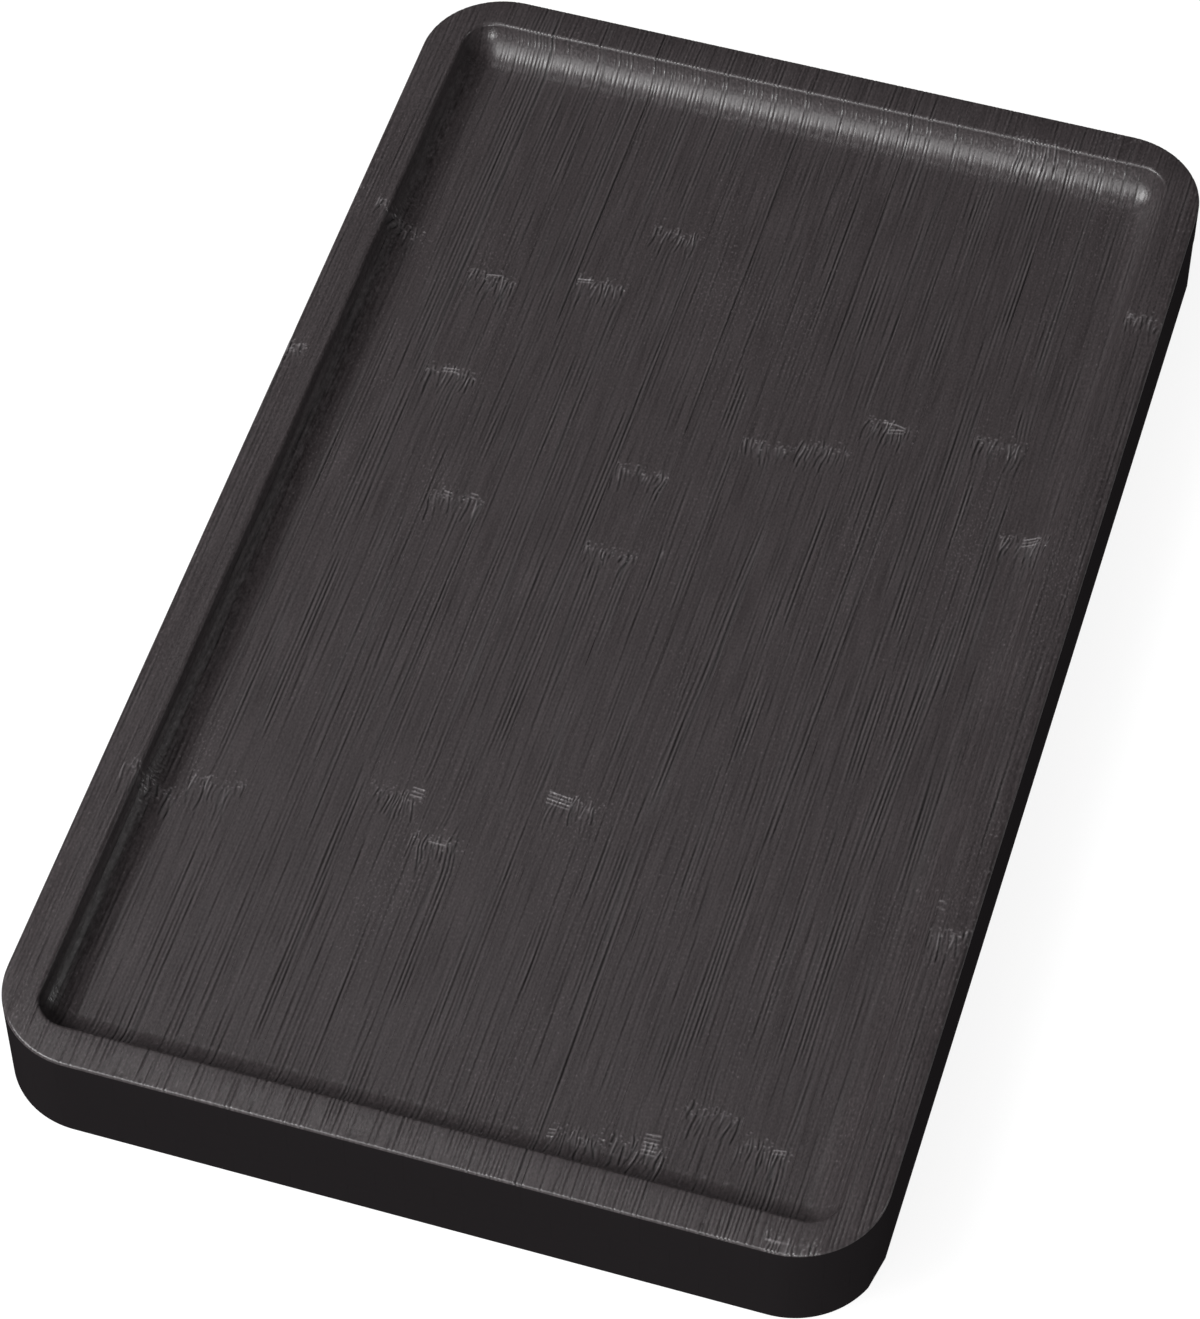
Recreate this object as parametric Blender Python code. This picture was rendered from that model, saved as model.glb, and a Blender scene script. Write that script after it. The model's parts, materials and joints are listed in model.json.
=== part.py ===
"""Bamboo serving tray, glued up from lengthwise strips and then shaped as one blank.

Three layers of strips lie on each other. The upper layer carries the rim and the well, so each of
its strips runs from the front rim over the coves and the floor to the back rim. The core and the
base layer fill the height below it. The shape that the blank is milled to, with its round corners,
crowned rim, eased edges and coved well, is modelled once as a guide, and each strip is what that
shape leaves of a straight bar.

Metres, +Z up, +Y along the tray, origin in the middle of the underside.
"""

import math

import bmesh
import bpy

# Driving dimensions of the outline
TRAY_LENGTH = 0.400
TRAY_WIDTH = 0.241
TRAY_HEIGHT = 0.0326
CORNER_RADIUS = 0.025
TOP_EDGE_EASE = 0.0006
BOTTOM_EDGE_EASE = 0.0005

# Driving dimensions of the rim, which falls off outwards, and of the well
RIM_WIDTH = 0.0103
RIM_CROWN = 0.0002
WELL_DEPTH = 0.0100
WELL_CORNER_RADIUS = 0.0100
WELL_EDGE_EASE = 0.0010
WELL_UPRIGHT = 0.0003
WELL_WALL_TURN = math.radians(82)
FLOOR_CORNER_RADIUS = 0.0005

# Driving dimensions of the strips: the outline trims the outer two, the rest share the width
FULL_STRIPS = 14
LEFT_STRIP_WIDTH = 0.00648
RIGHT_STRIP_WIDTH = 0.01164
WOOD_UNDER_WELL = 0.0031
GLUE_LINE = 0.0003

# The bars stand this far out of the finished shape before it trims them
TRIM_ALLOWANCE = 0.0030

# How finely the round stretches are drawn
CORNER_STEPS = 12
CROWN_STEPS = 4
COVE_STEPS = 8
EASE_STEPS = 2
QUARTER_TURN = math.radians(90)
SMOOTH_BELOW = math.radians(40)

# Linear colour, roughness and how much a strip's tone may differ from its neighbour's
UPPER_COLOUR = (0.047, 0.041, 0.043)
SIDE_COLOUR = (0.017, 0.015, 0.016)
LACQUER_ROUGHNESS = 0.42
TONE_SPREAD_SHARE = 0.12
TONE_STEP_SHARE = 0.618

# Values that follow from the driving dimensions
CURVED_DEPTH = WELL_DEPTH - WELL_UPRIGHT
COVE_RADIUS = CURVED_DEPTH / (1 - math.cos(WELL_WALL_TURN)) - WELL_EDGE_EASE
COVE_REACH = (COVE_RADIUS + WELL_EDGE_EASE) * math.sin(WELL_WALL_TURN)
OUTER_EDGE_HEIGHT = TRAY_HEIGHT - RIM_CROWN
STRIP_WIDTH = (TRAY_WIDTH - LEFT_STRIP_WIDTH - RIGHT_STRIP_WIDTH) / FULL_STRIPS
UPPER_THICKNESS = WELL_DEPTH + WOOD_UNDER_WELL
LOWER_THICKNESS = (TRAY_HEIGHT - UPPER_THICKNESS - 2 * GLUE_LINE) / 2
BASE_TOP = LOWER_THICKNESS
CORE_BOTTOM = BASE_TOP + GLUE_LINE
CORE_TOP = CORE_BOTTOM + LOWER_THICKNESS
UPPER_BOTTOM = CORE_TOP + GLUE_LINE
WELL_FLOOR = TRAY_HEIGHT - WELL_DEPTH


def clear_scene():
    """Remove whatever the scene holds, so that the tray is all there is."""
    for thing in list(bpy.data.objects):
        bpy.data.objects.remove(thing, do_unlink=True)


def lacquered_bamboo(name, colour, tone):
    """Principled material of one strip: its layer's colour, a little lighter or darker."""
    material = bpy.data.materials.new(name)
    material.use_nodes = True
    shader = material.node_tree.nodes["Principled BSDF"]
    shader.inputs["Base Color"].default_value = [channel * tone for channel in colour] + [1]
    shader.inputs["Roughness"].default_value = LACQUER_ROUGHNESS
    shader.inputs["Metallic"].default_value = 0
    material.diffuse_color = shader.inputs["Base Color"].default_value
    return material


def rounded_rectangle(inset, radius, height):
    """Points round the tray's outline drawn in by an inset, with round corners, at one height."""
    half_width = TRAY_WIDTH / 2 - inset
    half_length = TRAY_LENGTH / 2 - inset
    corners = ((1, 1, 0), (-1, 1, 1), (-1, -1, 2), (1, -1, 3))
    points = []
    for side_x, side_y, quarter in corners:
        centre_x = side_x * (half_width - radius)
        centre_y = side_y * (half_length - radius)
        for step in range(CORNER_STEPS + 1):
            angle = QUARTER_TURN * (quarter + step / CORNER_STEPS)
            x = centre_x + radius * math.cos(angle)
            y = centre_y + radius * math.sin(angle)
            points.append((x, y, height))
    return points


def outer_levels():
    """Inset, corner radius and height from the underside up the wall to the rim's outer edge."""
    levels = []
    for step in range(EASE_STEPS + 1):
        angle = QUARTER_TURN * step / EASE_STEPS
        inset = BOTTOM_EDGE_EASE * (1 - math.sin(angle))
        height = BOTTOM_EDGE_EASE * (1 - math.cos(angle))
        levels.append((inset, CORNER_RADIUS - inset, height))
    for step in range(EASE_STEPS + 1):
        angle = QUARTER_TURN * step / EASE_STEPS
        inset = TOP_EDGE_EASE * (1 - math.cos(angle))
        height = OUTER_EDGE_HEIGHT - TOP_EDGE_EASE * (1 - math.sin(angle))
        levels.append((inset, CORNER_RADIUS - inset, height))
    return levels


def rim_levels():
    """Inset, corner radius and height inwards over the rim, which rises as a sine to its crown."""
    outer_radius = CORNER_RADIUS - TOP_EDGE_EASE
    levels = []
    for step in range(1, CROWN_STEPS):
        share = step / CROWN_STEPS
        inset = TOP_EDGE_EASE + share * (RIM_WIDTH - TOP_EDGE_EASE)
        radius = outer_radius + share * (WELL_CORNER_RADIUS - outer_radius)
        height = OUTER_EDGE_HEIGHT + RIM_CROWN * math.sin(QUARTER_TURN * share)
        levels.append((inset, radius, height))
    return levels


def well_levels():
    """Inset, corner radius and height into the well: eased edge, short upright, then cove."""
    reaches = []
    for step in range(EASE_STEPS + 1):
        angle = WELL_WALL_TURN * step / EASE_STEPS
        height = TRAY_HEIGHT - WELL_EDGE_EASE * (1 - math.cos(angle))
        reaches.append((WELL_EDGE_EASE * math.sin(angle), height))
    for step in range(COVE_STEPS + 1):
        angle = WELL_WALL_TURN * (1 - step / COVE_STEPS)
        height = WELL_FLOOR + COVE_RADIUS * (1 - math.cos(angle))
        reaches.append((COVE_REACH - COVE_RADIUS * math.sin(angle), height))
    levels = []
    for reach, height in reaches:
        radius = max(WELL_CORNER_RADIUS - reach, FLOOR_CORNER_RADIUS)
        levels.append((RIM_WIDTH + reach, radius, height))
    return levels


def finished_shape():
    """Guide in the shape that the glued blank is milled to: rings joined from underside to well."""
    levels = outer_levels() + rim_levels() + well_levels()
    rings = [rounded_rectangle(inset, radius, height) for inset, radius, height in levels]

    shape = bmesh.new()
    loops = []
    for ring in rings:
        loops.append([shape.verts.new(point) for point in ring])
    shape.faces.new(reversed(loops[0]))
    for lower, upper in zip(loops, loops[1:]):
        for here in range(len(lower)):
            there = (here + 1) % len(lower)
            shape.faces.new((lower[here], lower[there], upper[there], upper[here]))
    shape.faces.new(loops[-1])

    mesh = bpy.data.meshes.new("finished_shape")
    shape.to_mesh(mesh)
    shape.free()
    mesh.shade_smooth()
    mesh.set_sharp_from_angle(angle=SMOOTH_BELOW)
    guide = bpy.data.objects.new("finished_shape", mesh)
    guide.hide_render = True
    guide.display_type = "WIRE"
    bpy.context.collection.objects.link(guide)
    return guide


def seams_of_upper_strips():
    """Places across the tray of the seams in the upper layer, and in the base layer like it."""
    first = LEFT_STRIP_WIDTH - TRAY_WIDTH / 2
    return [first + number * STRIP_WIDTH for number in range(FULL_STRIPS + 1)]


def seams_of_core_strips():
    """Places of the seams in the core: each in the middle of the upper strip that covers it."""
    edges = seams_of_upper_strips() + [TRAY_WIDTH / 2]
    return [(left + right) / 2 for left, right in zip(edges, edges[1:])]


def add_strip(name, left, right, bottom, top, guide, material):
    """One strip: a straight bar, centred on its own place, trimmed by the finished shape."""
    bar = bmesh.new()
    bmesh.ops.create_cube(bar, size=1)
    length = TRAY_LENGTH + 2 * TRIM_ALLOWANCE
    bmesh.ops.scale(bar, vec=(right - left, length, top - bottom), verts=bar.verts)
    mesh = bpy.data.meshes.new(name)
    bar.to_mesh(mesh)
    bar.free()
    mesh.materials.append(material)

    strip = bpy.data.objects.new(name, mesh)
    strip.location = ((left + right) / 2, 0, (bottom + top) / 2)
    bpy.context.collection.objects.link(strip)
    trim = strip.modifiers.new("trim_to_finished_shape", "BOOLEAN")
    trim.operation = "INTERSECT"
    trim.solver = "EXACT"
    trim.object = guide
    return strip


def add_layer(name, seams, bottom, top, colour, guide, parent):
    """One layer of strips side by side, with a glue line between each two."""
    outer_edge = TRAY_WIDTH / 2 + TRIM_ALLOWANCE
    lefts = [-outer_edge] + [seam + GLUE_LINE / 2 for seam in seams]
    rights = [seam - GLUE_LINE / 2 for seam in seams] + [outer_edge]
    for number, (left, right) in enumerate(zip(lefts, rights), start=1):
        strip_name = f"{name}_strip_{number:02d}"
        turn = (number * TONE_STEP_SHARE) % 1
        tone = 1 + TONE_SPREAD_SHARE * (2 * turn - 1)
        material = lacquered_bamboo(strip_name, colour, tone)
        strip = add_strip(strip_name, left, right, bottom, top, guide, material)
        strip.parent = parent


def build_tray():
    """The guide, then the three layers from the underside up, on one parent empty."""
    clear_scene()
    tray = bpy.data.objects.new("bamboo_serving_tray", None)
    bpy.context.collection.objects.link(tray)
    guide = finished_shape()
    guide.parent = tray
    upper_seams = seams_of_upper_strips()
    core_seams = seams_of_core_strips()
    base_bottom = -TRIM_ALLOWANCE
    upper_top = TRAY_HEIGHT + TRIM_ALLOWANCE
    add_layer("base", upper_seams, base_bottom, BASE_TOP, SIDE_COLOUR, guide, tray)
    add_layer("core", core_seams, CORE_BOTTOM, CORE_TOP, SIDE_COLOUR, guide, tray)
    add_layer("upper", upper_seams, UPPER_BOTTOM, upper_top, UPPER_COLOUR, guide, tray)


build_tray()
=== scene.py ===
"""Stained bamboo serving tray: the finish of every strip, and the stage that shows it.

Each strip of the tray is one closed surface, worked out on a grid. The upper strips carry the
brushed grain, with its furrows and the node marks that every bamboo strip has, as real relief.
The core and base strips show only at the tray's outer wall and underside.

Metres, +Z up, +Y along the tray, origin in the middle of the underside.
"""

import json
import math

import bmesh
import bpy
import numpy as np
from mathutils import Matrix, Vector


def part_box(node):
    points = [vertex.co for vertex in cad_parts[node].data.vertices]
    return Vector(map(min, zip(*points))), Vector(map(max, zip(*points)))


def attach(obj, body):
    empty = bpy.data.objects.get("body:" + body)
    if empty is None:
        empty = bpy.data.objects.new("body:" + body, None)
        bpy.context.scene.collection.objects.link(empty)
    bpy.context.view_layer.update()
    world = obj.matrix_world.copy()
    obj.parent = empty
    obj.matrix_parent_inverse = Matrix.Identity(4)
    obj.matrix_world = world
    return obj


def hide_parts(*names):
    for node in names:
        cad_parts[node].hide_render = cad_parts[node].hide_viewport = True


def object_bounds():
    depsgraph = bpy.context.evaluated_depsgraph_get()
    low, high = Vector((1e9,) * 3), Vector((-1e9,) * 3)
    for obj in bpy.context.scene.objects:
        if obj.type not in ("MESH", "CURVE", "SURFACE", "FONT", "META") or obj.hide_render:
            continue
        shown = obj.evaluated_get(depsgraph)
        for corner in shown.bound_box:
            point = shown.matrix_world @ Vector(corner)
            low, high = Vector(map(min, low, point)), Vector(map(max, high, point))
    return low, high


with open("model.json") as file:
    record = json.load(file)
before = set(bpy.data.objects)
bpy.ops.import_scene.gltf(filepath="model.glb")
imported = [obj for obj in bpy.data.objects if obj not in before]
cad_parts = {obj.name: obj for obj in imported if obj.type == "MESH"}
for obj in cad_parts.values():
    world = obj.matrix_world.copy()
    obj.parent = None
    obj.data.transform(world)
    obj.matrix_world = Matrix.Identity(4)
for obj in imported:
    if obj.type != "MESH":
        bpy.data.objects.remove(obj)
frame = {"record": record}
CAD_LOW, CAD_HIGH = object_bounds()

bl_info = {
    "name": "Stained Bamboo Tray",
    "version": (1, 0, 0),
    "blender": (4, 5, 0),
    "location": "View3D > Sidebar > Tray",
    "description": "Makes the strips, the finish and the stage of a bamboo serving tray",
    "category": "Add Mesh",
}

# Size of the tray, from the frame
HALF_WIDTH = (CAD_HIGH.x - CAD_LOW.x) / 2
HALF_LENGTH = (CAD_HIGH.y - CAD_LOW.y) / 2
TRAY_TOP = CAD_HIGH.z
WELL_FLOOR = next(m["pos_m"][2] for m in frame["record"]["mounts"] if m["name"] == "well_floor")
STRIPS_IN_LAYER = 16

# Grid over an upper strip
COLUMN_STEP = 0.0002
ROW_STEP = 0.0013
MARK_ROW_STEP = 0.0005
MARK_REACH = 0.012
FINE_ROW_STEP = 0.0002
FINE_REACH = 0.0045
COVE_STEP = 0.0003
RIM_ROW_STEP = 0.0005
EASE_STEPS = 5
WALL_STEPS = 4
LEAST_STEP_SHARE = 0.45
SAME_PLACE = 1e-6
SHARP_FROM = math.radians(40)

# Past this place the rows draw together towards the corners
STRAIGHT_ROWS = 0.150
CORNER_RUN_SHARE = 0.5

# Grid over a core or base strip
TURN_STEPS = 36
TOP_BORDER = 0.002

# Where each strip's node marks lie: strip number, place along the tray
NODE_MARKS = (
    (1, 0.049),
    (2, 0.109),
    (2, -0.105),
    (3, -0.097),
    (4, 0.061),
    (4, 0.099),
    (5, 0.017),
    (6, 0.106),
    (6, -0.086),
    (7, 0.131),
    (7, -0.098),
    (8, 0.041),
    (8, 0.011),
    (9, -0.075),
    (10, 0.061),
    (11, 0.065),
    (11, -0.175),
    (12, 0.078),
    (12, -0.174),
    (13, -0.159),
    (13, 0.190),
    (14, 0.081),
    (14, -0.165),
    (15, 0.048),
    (15, -0.196),
    (16, -0.093),
    (16, 0.130),
)

# Groups of strong furrows: middle, lean to the right per metre, back end, front end, furrows, strength
FURROW_GROUPS = (
    (-0.0995, 0.010, 0.060, -0.080, 2, 0.7),
    (-0.1000, 0.000, -0.125, -0.180, 2, 0.7),
    (-0.0980, 0.000, 0.185, 0.155, 2, 0.7),
    (-0.0875, 0.000, 0.200, 0.060, 7, 0.9),
    (-0.0875, 0.000, 0.060, -0.010, 5, 0.7),
    (-0.0835, 0.000, 0.200, -0.005, 1, 1.3),
    (-0.0845, 0.000, -0.005, -0.080, 3, 1.0),
    (-0.0925, 0.000, -0.030, -0.095, 3, 0.9),
    (-0.0870, 0.000, -0.090, -0.118, 4, 0.9),
    (-0.0885, 0.000, -0.118, -0.198, 1, 1.1),
    (-0.0850, 0.000, -0.120, -0.198, 3, 0.9),
    (-0.0765, 0.010, 0.185, 0.147, 2, 0.8),
    (-0.0725, 0.020, 0.080, 0.030, 3, 0.9),
    (-0.0745, 0.000, 0.015, -0.015, 2, 0.7),
    (-0.0712, 0.000, 0.006, -0.100, 2, 0.8),
    (-0.0735, 0.000, -0.125, -0.180, 2, 0.6),
    (-0.0670, 0.010, 0.200, 0.140, 4, 0.9),
    (-0.0675, 0.000, 0.112, 0.085, 3, 0.8),
    (-0.0672, 0.000, 0.040, -0.090, 1, 1.1),
    (-0.0685, 0.000, -0.120, -0.198, 1, 1.0),
    (-0.0620, 0.000, -0.040, -0.105, 2, 0.7),
    (-0.0560, 0.000, 0.185, 0.100, 3, 0.9),
    (-0.0570, 0.020, 0.050, -0.070, 2, 1.0),
    (-0.0570, 0.000, -0.105, -0.143, 3, 0.6),
    (-0.0508, 0.000, 0.200, 0.090, 1, 1.3),
    (-0.0515, 0.010, 0.060, -0.080, 2, 1.0),
    (-0.0530, 0.000, -0.080, -0.180, 3, 0.9),
    (-0.0485, 0.000, 0.060, -0.080, 1, 0.8),
    (-0.0412, 0.000, 0.075, -0.080, 2, 0.7),
    (-0.0395, 0.000, 0.124, 0.108, 6, 0.8),
    (-0.0380, 0.010, 0.200, 0.135, 3, 0.9),
    (-0.0455, 0.000, -0.100, -0.198, 1, 0.9),
    (-0.0358, 0.000, 0.100, -0.080, 2, 0.9),
    (-0.0360, 0.000, -0.140, -0.200, 1, 1.0),
    (-0.0285, 0.005, 0.200, 0.140, 2, 0.7),
    (-0.0275, 0.010, 0.120, -0.070, 1, 0.9),
    (-0.0315, 0.000, 0.060, -0.060, 1, 0.7),
    (-0.0195, 0.000, 0.200, 0.155, 3, 0.8),
    (-0.0190, 0.005, 0.125, 0.060, 2, 1.1),
    (-0.0205, 0.015, 0.060, -0.070, 5, 0.9),
    (-0.0210, 0.000, -0.085, -0.160, 3, 0.9),
    (-0.0235, 0.000, -0.165, -0.198, 4, 0.8),
    (-0.0130, -0.010, 0.010, -0.040, 5, 0.7),
    (-0.0030, 0.000, 0.200, 0.050, 1, 1.1),
    (-0.0045, 0.000, 0.055, -0.025, 3, 0.7),
    (-0.0060, 0.010, -0.045, -0.080, 3, 0.8),
    (-0.0090, 0.000, -0.110, -0.170, 2, 0.8),
    (-0.0050, 0.000, -0.090, -0.198, 2, 0.9),
    (0.0070, 0.000, 0.136, 0.120, 4, 0.9),
    (0.0080, 0.000, 0.088, 0.060, 4, 0.9),
    (0.0035, 0.000, 0.020, -0.005, 4, 0.8),
    (0.0115, 0.000, 0.060, -0.010, 3, 0.8),
    (0.0115, 0.000, -0.035, -0.060, 3, 0.8),
    (0.0090, 0.000, -0.110, -0.145, 4, 0.7),
    (0.0090, 0.000, -0.160, -0.200, 4, 0.7),
    (0.0215, 0.000, 0.160, 0.095, 2, 0.8),
    (0.0250, 0.040, 0.045, -0.080, 1, 0.9),
    (0.0275, 0.030, 0.032, -0.075, 3, 1.1),
    (0.0240, 0.000, -0.080, -0.140, 3, 0.9),
    (0.0180, 0.000, -0.080, -0.110, 2, 0.7),
    (0.0275, 0.000, -0.080, -0.198, 1, 1.1),
    (0.0295, 0.000, 0.200, 0.085, 1, 1.2),
    (0.0355, 0.000, 0.200, 0.160, 2, 0.9),
    (0.0360, 0.000, 0.138, 0.105, 3, 0.9),
    (0.0395, 0.000, 0.012, -0.012, 2, 0.9),
    (0.0430, 0.010, 0.045, -0.004, 2, 1.1),
    (0.0440, 0.000, 0.200, 0.130, 1, 1.1),
    (0.0450, 0.010, 0.125, 0.075, 2, 1.1),
    (0.0435, 0.000, -0.018, -0.052, 6, 0.8),
    (0.0425, 0.000, -0.065, -0.100, 4, 0.8),
    (0.0510, 0.000, 0.062, 0.040, 4, 0.8),
    (0.0525, 0.000, -0.050, -0.068, 4, 0.8),
    (0.0515, 0.000, -0.138, -0.160, 4, 0.9),
    (0.0585, 0.000, 0.185, 0.140, 4, 1.0),
    (0.0555, 0.000, 0.170, 0.155, 2, 0.9),
    (0.0580, 0.005, 0.128, 0.097, 4, 0.9),
    (0.0560, 0.010, 0.060, -0.015, 2, 0.9),
    (0.0600, 0.020, 0.060, -0.080, 2, 1.0),
    (0.0560, 0.000, -0.022, -0.060, 2, 1.0),
    (0.0570, 0.000, -0.080, -0.150, 5, 0.9),
    (0.0590, 0.000, -0.158, -0.200, 3, 0.9),
    (0.0715, 0.000, 0.185, 0.160, 4, 0.8),
    (0.0755, 0.000, 0.160, 0.118, 3, 0.9),
    (0.0680, 0.000, 0.080, 0.020, 2, 1.0),
    (0.0685, 0.000, 0.005, -0.040, 2, 0.8),
    (0.0740, 0.000, 0.100, 0.000, 4, 1.0),
    (0.0752, 0.000, -0.010, -0.054, 4, 1.1),
    (0.0757, 0.000, -0.054, -0.085, 1, 0.9),
    (0.0735, 0.000, -0.080, -0.138, 3, 0.9),
    (0.0800, 0.000, 0.200, 0.158, 3, 0.9),
    (0.0808, 0.000, 0.062, 0.035, 2, 1.1),
    (0.0815, 0.000, 0.000, -0.030, 2, 0.8),
    (0.0812, 0.000, -0.092, -0.140, 2, 1.0),
    (0.0865, 0.030, 0.012, -0.075, 5, 1.0),
    (0.0865, 0.000, -0.082, -0.140, 4, 1.0),
    (0.0890, 0.000, 0.200, 0.100, 2, 0.8),
    (0.0900, 0.000, 0.100, 0.070, 4, 0.9),
    (0.0910, 0.005, 0.062, -0.014, 3, 1.1),
    (0.0905, 0.000, -0.142, -0.198, 2, 0.8),
    (0.0860, 0.000, -0.168, -0.200, 6, 0.9),
    (0.0955, 0.000, 0.040, -0.005, 2, 0.7),
    (0.0985, 0.000, -0.038, -0.078, 5, 0.8),
    (0.0965, 0.000, -0.095, -0.120, 1, 0.9),
)

# Lamps: name, degrees above the horizon, degrees from the front round to the left, angular
# radius in degrees, radiance
LAMPS = (
    ("left_lamp", 48, 62, 16, 12.62),
    ("front_lamp", 44, 22, 22, 3.95),
    ("low_front_lamp", 6, 344, 4, 88.0),
    ("back_lamp", 66, 140, 4, 8.74),
    ("low_right_lamp", 6, 254, 4, 23.4),
)

# Stacks of short raised bars at some marks: across, along, bars, length, pitch, lean, bow
# Besides being raised, the bars lighten the colour through the ridge attribute: partly a painted
# highlight.
BAR_STACKS = (
    (-0.0740, 0.0998, 1, 0.0052, 0.0014, 0.20, 0.0),
    (-0.0750, 0.0612, 2, 0.0055, 0.0012, 0.15, -0.04),
    (-0.0615, 0.0172, 2, 0.0030, 0.0012, -0.10, 0.0),
    (-0.0540, 0.0185, 2, 0.0028, 0.0014, -0.05, 0.0),
    (-0.0475, 0.1055, 2, 0.0050, 0.0010, 0.20, 0.0),
    (-0.0368, -0.0845, 3, 0.0042, 0.0013, -0.05, -0.02),
    (-0.0265, -0.0990, 1, 0.0055, 0.0012, 0.00, 0.0),
    (0.0008, -0.0758, 4, 0.0075, 0.0012, -0.10, 0.0),
    (0.0030, 0.0140, 2, 0.0018, 0.0012, -0.50, 0.0),
    (0.0540, 0.0790, 1, 0.0075, 0.0012, -0.08, -0.16),
    (0.0550, 0.0765, 2, 0.0050, 0.0012, 0.25, -0.05),
    (0.0560, -0.1730, 6, 0.0046, 0.0012, 0.05, 0.0),
    (0.0300, -0.1770, 3, 0.0030, 0.0011, 0.15, 0.0),
    (0.0885, -0.1655, 2, 0.0040, 0.0011, 0.20, 0.0),
    (0.1020, 0.0480, 3, 0.0050, 0.0012, 0.30, 0.0),
    (0.0965, -0.1966, 1, 0.0070, 0.0012, 0.06, 0.0),
    (0.1095, -0.0850, 2, 0.0045, 0.0022, -0.25, 0.0),
)


def sizes():
    """The tray's sizes, as set in the sidebar."""
    return bpy.context.scene.bamboo_tray_sizes


def finish():
    """The tray's colours and grain, as set in the sidebar."""
    return bpy.context.scene.bamboo_tray_finish


def stage_settings():
    """Lights and camera, as set in the sidebar."""
    return bpy.context.scene.bamboo_tray_stage


def ease_in(share):
    """Smooth step: 3 s squared less 2 s cubed, of a share held between 0 and 1."""
    held = np.clip(share, 0, 1)
    return held * held * (3 - 2 * held)



# Profiles: rings of inset from the outline, corner radius, height and how far they face up


def joined_profile(stretches):
    """Rings of a profile from the inside out, with the run along it: summed chord lengths."""
    inset, corner, height, facing = (np.concatenate(part) for part in zip(*stretches))
    steps = np.hypot(np.diff(inset), np.diff(height))
    run = np.concatenate(([0], np.cumsum(steps)))
    own = np.concatenate(([True], steps > SAME_PLACE))
    last = np.cumsum([len(stretch[0]) for stretch in stretches]) - 1
    return {
        "run": run[own],
        "inset": inset[own],
        "corner": corner[own],
        "height": height[own],
        "facing": facing[own],
        "ends": run[last],
    }


def at_run(profile, part, run):
    """One part of a profile at a run along it, straight between its rings."""
    return np.interp(run, profile["run"], profile[part])


def upper_profile(bottom):
    """Cove, well edge, crowned rim, outer edge and wall, from the cove's foot outwards.

    With the turn t, a point of the cove lies radius sin t out from its foot and
    radius (1 - cos t) above the floor, up to the wall turn. After a short upright the well's edge
    lies ease sin t in from the rim and ease (1 - cos t) below its top. The rim falls outwards by
    crown (1 - sin(90 s)), where s is the share of its width, and the outer edge rounds from the
    rim's own tilt to the wall.
    """
    s = sizes()
    turn = np.linspace(0, s.wall_turn, 61)
    radius = (TRAY_TOP - WELL_FLOOR - s.upright) / (1 - math.cos(s.wall_turn)) - s.well_ease
    reach = (radius + s.well_ease) * math.sin(s.wall_turn)

    def well_corner(inset):
        return np.maximum(s.well_corner + s.rim_width - inset, s.floor_corner)

    cove_inset = s.rim_width + reach - radius * np.sin(turn)
    cove_height = WELL_FLOOR + radius * (1 - np.cos(turn))
    cove = (cove_inset, well_corner(cove_inset), cove_height, np.cos(turn))
    edge_inset = s.rim_width + s.well_ease * np.sin(turn[::-1])
    edge_height = TRAY_TOP - s.well_ease * (1 - np.cos(turn[::-1]))
    well_edge = (edge_inset, well_corner(edge_inset), edge_height, np.cos(turn[::-1]))

    share = np.linspace(1, 0, 41)
    rim = (
        s.outer_ease + share * (s.rim_width - s.outer_ease),
        s.corner_radius - s.outer_ease + share * (s.well_corner - s.corner_radius + s.outer_ease),
        TRAY_TOP - s.rim_crown * (1 - np.sin(math.pi / 2 * share)),
        np.ones(41),
    )
    tilt = math.atan(s.rim_crown * math.pi / 2 / (s.rim_width - s.outer_ease))
    lip_turn = np.linspace(tilt, math.pi / 2, 31)
    lip = s.outer_ease / (1 - math.sin(tilt))
    lip_inset = lip * (1 - np.sin(lip_turn))
    lip_height = TRAY_TOP - s.rim_crown - lip * (math.cos(tilt) - np.cos(lip_turn))
    outer_edge = (lip_inset, s.corner_radius - lip_inset, lip_height, np.cos(lip_turn))
    wall_top = lip_height[-1]
    wall = (np.zeros(2), np.full(2, s.corner_radius), np.array((wall_top, bottom)), np.zeros(2))
    return joined_profile((cove, well_edge, rim, outer_edge, wall))


def upper_ring_runs(profile):
    """Runs along the upper profile at which it gets rows of vertices, from the cove's foot out."""
    cove_end, rim_start, rim_end, wall_start, wall_end = profile["ends"]
    edge_start = cove_end + sizes().upright
    cove_steps = round(cove_end / COVE_STEP)
    rim_steps = round((rim_end - rim_start) / RIM_ROW_STEP)
    rim_columns = round((rim_end - rim_start) / COLUMN_STEP)
    inner = np.linspace(0, cove_end, cove_steps + 1)
    well_ease = np.linspace(edge_start, rim_start, EASE_STEPS + 1)
    outer_ease = np.linspace(rim_end, wall_start, EASE_STEPS + 1)
    wall = np.linspace(wall_start, wall_end, WALL_STEPS + 1)
    rows = (inner, well_ease, np.linspace(rim_start, rim_end, rim_steps + 1), outer_ease, wall)
    columns = (inner, well_ease, np.linspace(rim_start, rim_end, rim_columns + 1), outer_ease, wall)
    return spaced(np.concatenate(rows)), spaced(np.concatenate(columns))


def lower_profile(bottom, top):
    """Flat border of the top face, then the wall, which stands straight down to the bottom."""
    s = sizes()
    inset = np.array((TOP_BORDER, 0, 0))
    height = np.array((top, top, bottom))
    return joined_profile(((inset, s.corner_radius - inset, height, np.array((1.0, 0, 0))),))


def spaced(places, least=SAME_PLACE):
    """Places in rising order, without those that lie closer than the least step to the last."""
    rising = np.unique(places)
    kept = [rising[0]]
    for place in rising[1:]:
        if place - kept[-1] > least:
            kept.append(place)
    return np.array(kept)


# Grid of one strip


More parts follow.
